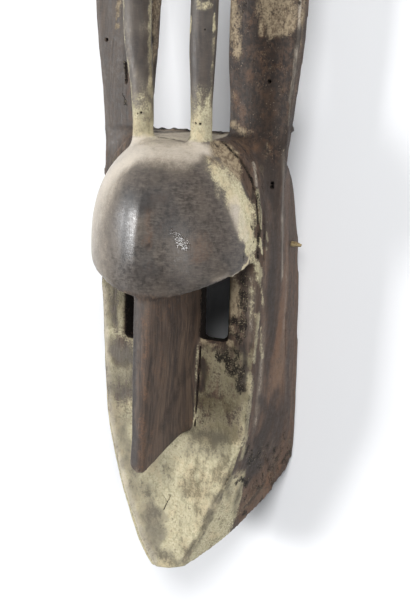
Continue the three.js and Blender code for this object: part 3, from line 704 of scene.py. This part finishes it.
    # the grooves' dirt, and painted shade in the holes
    amounts["soot_and_shade"] = np.maximum(amounts["soot_and_shade"], dirt_and_hole_shade)
    amounts["wear_and_edge_highlight"] = np.clip(wear_and_edge_highlight, 0, 1)
    amounts["skin"] = ears * np.maximum(right * 0.8, smooth(0.5, 0.8, normals[:, 0]))
    amounts["polish"] = np.clip(dome + nose * 0.15 + horns * 0.6 + ears * (1 - right) * 0.55, 0, 1)
    for name, amount in amounts.items():
        layer = mesh.attributes.new(name, "FLOAT", "POINT")
        layer.data.foreach_set("value", amount.astype(np.float32))

    # clay and soot stand proud of the wood, by up to 0.6 mm
    crumbs = 0.5 + 0.5 * noise_field(places, (2.8, 3.6, 2.8), 50)
    build_up = 0.5 * amounts["soot_and_shade"] * (1 - inside) * smooth(1, 0, ears)
    build_up = crumbs * (build_up + 0.3 * smooth(0.3, 0.8, amounts["clay"]))
    write_places(mesh, places + normals * (build_up * smooth(RIM_DEPTH, RIM_DEPTH + 4, depth))[:, None])


# Materials


def colour(red, green, blue):
    """A screen colour as the linear colour a shader takes."""
    def linear(value):
        share = value / 255
        return share / 12.92 if share <= 0.04045 else ((share + 0.055) / 1.055) ** 2.4
    return (linear(red), linear(green), linear(blue), 1)


class Recipe:
    """Builds a material's nodes."""

    def __init__(self, name):
        self.material = bpy.data.materials.new(name)
        self.material.use_nodes = True
        self.tree = self.material.node_tree
        self.shader = self.tree.nodes["Principled BSDF"]
        self.place = self.tree.nodes.new("ShaderNodeTexCoord").outputs["Object"]
        self.along_grain = self.place

    def new(self, kind):
        return self.tree.nodes.new(kind)

    def put(self, socket, value):
        if isinstance(value, bpy.types.NodeSocket):
            self.tree.links.new(value, socket)
        else:
            socket.default_value = value

    def attribute(self, name):
        node = self.new("ShaderNodeAttribute")
        node.attribute_name = name
        return node.outputs["Fac"]

    def sway(self, per_metre, reach):
        """Lets the grain wander sideways, by up to about half of reach in metres."""
        mapping = self.new("ShaderNodeMapping")
        self.put(mapping.inputs["Vector"], self.place)
        mapping.inputs["Scale"].default_value = per_metre
        wander = self.new("ShaderNodeTexNoise")
        self.put(wander.inputs["Vector"], mapping.outputs["Vector"])
        wander.inputs["Scale"].default_value = 1
        wander.inputs["Detail"].default_value = 1
        offset = self.new("ShaderNodeVectorMath")
        offset.operation = "MULTIPLY_ADD"
        self.put(offset.inputs[0], wander.outputs["Color"])
        offset.inputs[1].default_value = (reach, 0, reach)
        self.put(offset.inputs[2], self.place)
        self.along_grain = offset.outputs["Vector"]

    def noise(self, per_metre, detail=3, roughness=0.55, shift=0, place=None):
        """Noise from 0 to 1, with that many features per metre along each axis."""
        mapping = self.new("ShaderNodeMapping")
        self.put(mapping.inputs["Vector"], place or self.place)
        mapping.inputs["Scale"].default_value = per_metre
        mapping.inputs["Location"].default_value = (shift, shift * 0.7, shift * 1.3)
        node = self.new("ShaderNodeTexNoise")
        self.put(node.inputs["Vector"], mapping.outputs["Vector"])
        node.inputs["Scale"].default_value = 1
        node.inputs["Detail"].default_value = detail
        node.inputs["Roughness"].default_value = roughness
        return node.outputs["Fac"]

    def math(self, operation, first, second=0, clamp=False):
        node = self.new("ShaderNodeMath")
        node.operation = operation
        node.use_clamp = clamp
        self.put(node.inputs[0], first)
        self.put(node.inputs[1], second)
        return node.outputs[0]

    def step(self, value, low, high, low_out=0, high_out=1):
        node = self.new("ShaderNodeMapRange")
        node.interpolation_type = "SMOOTHSTEP"
        self.put(node.inputs["Value"], value)
        node.inputs["From Min"].default_value = low
        node.inputs["From Max"].default_value = high
        node.inputs["To Min"].default_value = low_out
        node.inputs["To Max"].default_value = high_out
        return node.outputs["Result"]

    def blend(self, share, first, second):
        node = self.new("ShaderNodeMix")
        node.data_type = "RGBA"
        colour_a, colour_b, mixed = 6, 7, 2
        self.put(node.inputs["Factor"], share)
        self.put(node.inputs[colour_a], first)
        self.put(node.inputs[colour_b], second)
        return node.outputs[mixed]

    def tint(self, base, pattern, low, high, most, tone):
        """Lays a tone on the base, more of it as the pattern goes from low to high."""
        return self.blend(self.step(pattern, low, high, 0, most), base, tone)

    def bump(self, height, distance):
        node = self.new("ShaderNodeBump")
        node.inputs["Distance"].default_value = distance
        self.put(node.inputs["Height"], height)
        return node.outputs["Normal"]


def carved_wood():
    recipe = Recipe("carved_wood")
    polish = recipe.attribute("polish")
    recipe.sway((16, 11, 16), 0.022)
    grain = recipe.noise((520, 18, 520), 4, place=recipe.along_grain)
    streak = recipe.noise((190, 8, 190), 4, 0.6, 5.3, recipe.along_grain)
    vein = recipe.noise((330, 12, 330), 3, 0.6, 2.2, recipe.along_grain)
    cloud = recipe.noise((60, 40, 60), 4, 0.6, shift=3.1)
    mottle = recipe.noise((260, 200, 260), 3, 0.6, shift=1.9)
    flake = recipe.noise((300, 230, 300), 4, 0.65, shift=8.4)
    speck = recipe.noise((620, 560, 620), 4, 0.65, shift=7.7)
    blotch = recipe.noise((190, 110, 190), 4, 0.6, shift=9.1)
    scratch = recipe.noise((170, 620, 170), 4, 0.7, shift=6.6)

    # plain wood, polished wood and the ears' flaking skin
    wood = recipe.blend(recipe.step(grain, 0.36, 0.62), colour(56, 46, 40), colour(86, 70, 59))
    wood = recipe.tint(wood, streak, 0.5, 0.68, 0.65, colour(102, 84, 69))
    wood = recipe.tint(wood, streak, 0.48, 0.32, 0.6, colour(54, 47, 44))
    wood = recipe.tint(wood, vein, 0.56, 0.68, 0.6, colour(44, 36, 32))
    wood = recipe.tint(wood, cloud, 0.5, 0.75, 0.4, colour(56, 48, 43))
    polished = recipe.blend(recipe.step(mottle, 0.35, 0.65), colour(62, 57, 53), colour(86, 78, 72))
    polished = recipe.tint(polished, cloud, 0.42, 0.68, 0.6, colour(98, 89, 80))
    polished = recipe.tint(polished, speck, 0.45, 0.8, 0.25, colour(58, 52, 49))
    polished = recipe.tint(polished, scratch, 0.45, 0.65, 0.5, colour(112, 104, 95))
    wood = recipe.blend(polish, wood, polished)
    skin = recipe.attribute("skin")
    skinned = recipe.blend(recipe.step(flake, 0.42, 0.6), colour(41, 37, 36), colour(82, 65, 54))
    wood = recipe.blend(skin, wood, skinned)

    uneven = recipe.math("SUBTRACT", recipe.math("ADD", speck, blotch), 1)
    calm = recipe.math("MULTIPLY", uneven, recipe.step(polish, 0, 1, 1, 0.35))
    frayed = recipe.math("MULTIPLY", uneven, recipe.step(polish, 0, 1, 1, 0.7))

    def cover(name, rough, low, high, most=1, breaks=calm):
        """Where a finish shows: its amount, broken up by specks and blotches."""
        amount = recipe.attribute(name)
        torn = recipe.math("MULTIPLY", breaks, recipe.step(amount, 0, 0.3, 0, rough))
        return recipe.step(recipe.math("ADD", amount, torn), low, high, 0, most)

    cool = cover("cool", 0.7, 0, 1, 0.75)
    grey = cover("grey", 0.8, 0.05, 1, 0.8)
    glaze = cover("glaze", 3.2, 0.4, 0.6, breaks=frayed)
    rust = cover("rust", 1.8, 0.1, 1, 0.85)
    wear_and_edge_highlight = cover("wear_and_edge_highlight", 1.8, 0.2, 0.9, 0.7)
    shade = cover("shade", 1, 0.1, 1, 0.9)
    tan = cover("tan", 1.8, 0.12, 0.85, breaks=frayed)
    dust_and_sheen = cover("ash_and_sheen", 0.5, 0, 0.5, 0.75)
    ash_and_sheen = cover("ash_and_sheen", 1.2, 0.2, 1.05, 0.95)
    brushed = recipe.step(scratch, 0.35, 0.62, 0.78, 1)
    ash_and_sheen = recipe.math("MULTIPLY", ash_and_sheen, brushed)
    film = cover("clay", 1.2, 0.05, 0.8, 0.7, breaks=frayed)
    clay = cover("clay", 1.8, 0.3, 0.9, breaks=frayed)
    olive = cover("olive", 2, 0.25, 1, 0.75)
    soot_and_shade = cover("soot_and_shade", 2.6, 0.4, 0.75, 0.95, breaks=frayed)
    crumbs = recipe.step(recipe.attribute("crumbs"), 0.1, 0.5, 0, 0.75)
    crumbs = recipe.math("MULTIPLY", crumbs, recipe.step(speck, 0.56, 0.66))

    tan_tone = recipe.blend(recipe.step(flake, 0.38, 0.6), colour(108, 93, 76), colour(153, 138, 114))
    tan_tone = recipe.tint(tan_tone, speck, 0.5, 0.7, 0.4, colour(172, 160, 136))
    clay_tone = recipe.blend(recipe.step(speck, 0.35, 0.65), colour(173, 164, 134), colour(202, 194, 164))
    clay_tone = recipe.tint(clay_tone, cloud, 0.45, 0.65, 0.7, colour(196, 180, 147))
    clay_tone = recipe.tint(clay_tone, mottle, 0.5, 0.7, 0.7, colour(150, 145, 119))
    flecks = recipe.math("MULTIPLY", recipe.step(speck, 0.57, 0.66, 0, 0.9), recipe.step(blotch, 0.49, 0.63))
    pits = recipe.step(speck, 0.44, 0.34, 0, 0.6)

    # the coats, from the wood outwards
    coats = (
        (cool, colour(60, 62, 64)),
        (rust, colour(112, 84, 64)),
        # wear and painted highlight along convex edges
        (wear_and_edge_highlight, colour(146, 132, 116)),
        # pale ash, thin and thick, with painted sheen on the dome's left and painted highlight on the left
        # border
        (dust_and_sheen, colour(130, 120, 107)),
        (ash_and_sheen, colour(188, 176, 158)),
        (tan, tan_tone),
        (film, colour(155, 145, 120)),
        (clay, clay_tone),
        # thick ash, with painted sheen and highlight where it is laid for light
        (recipe.math("MULTIPLY", ash_and_sheen, 0.6), colour(206, 196, 182)),
        (olive, colour(98, 89, 67)),
        (grey, colour(100, 94, 84)),
        (shade, colour(49, 42, 38)),
        # soot crust, painted shade in the hollow and the holes, and darker concave corners
        (soot_and_shade, colour(32, 27, 24)),
        (crumbs, colour(150, 138, 114)),
        (recipe.math("MULTIPLY", skin, flecks), colour(156, 138, 118)),
        (recipe.math("MULTIPLY", skin, pits), colour(42, 36, 34)),
    )
    base = wood
    for share, tone in coats:
        base = recipe.blend(share, base, tone)
    recipe.put(recipe.shader.inputs["Base Color"], base)

    # gloss and fine relief
    dull = recipe.math("MAXIMUM", recipe.math("MAXIMUM", clay, soot_and_shade), recipe.math("MULTIPLY", tan, 0.8))
    gloss = recipe.math("POWER", polish, 2)
    gloss = recipe.math("MULTIPLY", gloss, recipe.math("SUBTRACT", 1, dull), True)
    patchy = recipe.step(mottle, 0.3, 0.7, -0.05, 0.08)
    patchy = recipe.math("ADD", patchy, recipe.step(scratch, 0.4, 0.65, 0, 0.07))
    roughness = recipe.math("ADD", recipe.step(gloss, 0, 1, 0.62, 0.34), patchy)
    roughness = recipe.math("ADD", roughness, recipe.math("MULTIPLY", dull, 0.2))
    roughness = recipe.math("SUBTRACT", roughness, recipe.math("MULTIPLY", glaze, 0.26), True)
    recipe.put(recipe.shader.inputs["Roughness"], roughness)

    crust = recipe.math("MULTIPLY", recipe.math("ADD", clay, soot_and_shade), recipe.step(blotch, 0.2, 0.8, 0.2, 1))
    fibre = recipe.math("MULTIPLY", grain, recipe.step(polish, 0, 1, 0.8, 0.15))
    height = recipe.math("ADD", recipe.math("MULTIPLY", crust, 0.7), fibre)
    fine = recipe.math("ADD", recipe.step(polish, 0, 1, 0.25, 0.09), recipe.math("MULTIPLY", glaze, 0.11))
    height = recipe.math("ADD", height, recipe.math("MULTIPLY", speck, fine))
    strokes = recipe.math("MULTIPLY", scratch, recipe.step(polish, 0.5, 1, 0, 0.16))
    height = recipe.math("ADD", height, strokes)
    recipe.put(recipe.shader.inputs["Normal"], recipe.bump(height, distance=0.0007))
    return recipe.material


def peg_wood():
    recipe = Recipe("peg_wood")
    fibre = recipe.noise((60, 1500, 1500), 3)
    stain = recipe.noise((260, 300, 300), 3, shift=4.4)
    base = recipe.blend(recipe.step(fibre, 0.35, 0.65), colour(122, 104, 74), colour(176, 160, 122))
    base = recipe.tint(base, stain, 0.48, 0.66, 0.75, colour(84, 66, 46))
    recipe.put(recipe.shader.inputs["Base Color"], base)
    recipe.shader.inputs["Roughness"].default_value = 0.75
    recipe.put(recipe.shader.inputs["Normal"], recipe.bump(fibre, distance=0.0003))
    return recipe.material


# The object


def add_piece(mesh, name, material):
    """Puts a worked mesh into the scene."""
    mesh.name = name
    for polygon in mesh.polygons:
        polygon.use_smooth = True
    mesh.materials.clear()
    mesh.materials.append(material)
    piece = bpy.data.objects.new(name, mesh)
    bpy.context.scene.collection.objects.link(piece)
    return piece


def make_mask():
    mesh = even_mesh("mask", CARVING_GRID)
    for reach in FINE_REACHES:
        refine(mesh, reach)
    dirt_and_hole_shade = carve(mesh)
    patina_and_painted_light(mesh, dirt_and_hole_shade)
    mask = add_piece(mesh, "carving", carved_wood())
    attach(mask, "root")
    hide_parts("mask")


def make_peg():
    """The stub of a peg, broken off to a blunt splintered point."""
    mesh = even_mesh("side_peg", PEG_GRID)
    places = read_places(mesh)
    out = places[:, 0]
    middle = np.array((0, 322, -71))
    share = smooth(91.5, 99.5, out)
    splinters = 0.35 * noise_field(places, (30, 1.1, 1.1), 60) * smooth(92, 96, out)
    for axis in (1, 2):
        away = places[:, axis] - middle[axis]
        places[:, axis] = middle[axis] + away * (1.02 - 0.5 * share) * (1 + splinters)
    places[:, 1] -= 0.9 * share
    reach = np.linalg.norm((places - middle)[:, 1:], axis=1)
    places[:, 0] = out - smooth(97, 99, out) * (0.45 * reach + 0.7 * noise_field(places, (30, 1.3, 1.3), 61))
    write_places(mesh, places)
    peg = add_piece(mesh, "peg_stub", peg_wood())
    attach(peg, "root")
    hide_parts("side_peg")


# Floor and light


def add_floor():
    half = 4
    corners = [(-half, -half, 0), (half, -half, 0), (half, half, 0), (-half, half, 0)]
    mesh = bpy.data.meshes.new("floor")
    mesh.from_pydata(corners, [], [(0, 1, 2, 3)])
    floor = bpy.data.objects.new("floor", mesh)
    bpy.context.scene.collection.objects.link(floor)
    recipe = Recipe("pale_floor")
    recipe.shader.inputs["Base Color"].default_value = (0.9, 0.91, 0.93, 1)
    recipe.shader.inputs["Roughness"].default_value = 0.7
    mesh.materials.append(recipe.material)


def add_light(name, energy, size, location):
    """A soft square light that looks at the middle of the mask."""
    middle = Vector((0, 0, 0.08))
    data = bpy.data.lights.new(name, "AREA")
    data.energy = energy
    data.size = size
    light = bpy.data.objects.new(name, data)
    light.location = location
    light.rotation_euler = (middle - Vector(location)).to_track_quat("-Z", "Y").to_euler()
    bpy.context.scene.collection.objects.link(light)
    return light


def add_lights():
    """Window, ceiling and room give plain light; shine, lamp and bounce show only in gloss."""
    window = add_light("window", energy=190, size=1.3, location=(-3.75, -0.7, 3.3))
    window.visible_glossy = False
    shine = add_light("shine", energy=260, size=1.3, location=(-3.75, -0.35, 3.35))
    shine.visible_diffuse = False
    ceiling = add_light("ceiling", energy=200, size=2.4, location=(1.2, 3.1, 4))
    ceiling.visible_glossy = False
    room = add_light("room", energy=96, size=3, location=(4, -0.5, 3))
    room.visible_glossy = False
    lamp = add_light("lamp", energy=27, size=0.4, location=(1.8, -0.9, 3.6))
    lamp.visible_diffuse = False
    bounce = add_light("bounce", energy=60, size=5, location=(-4.6, 2.4, 1.6))
    bounce.visible_diffuse = False
    world = bpy.data.worlds.new("studio")
    world.use_nodes = True
    background = world.node_tree.nodes["Background"].inputs
    background["Color"].default_value = (0.95, 0.97, 1, 1)
    background["Strength"].default_value = 0.15
    bpy.context.scene.world = world
    bpy.context.scene.view_settings.view_transform = "Standard"


add_camera()
make_mask()
make_peg()
add_floor()
add_lights()
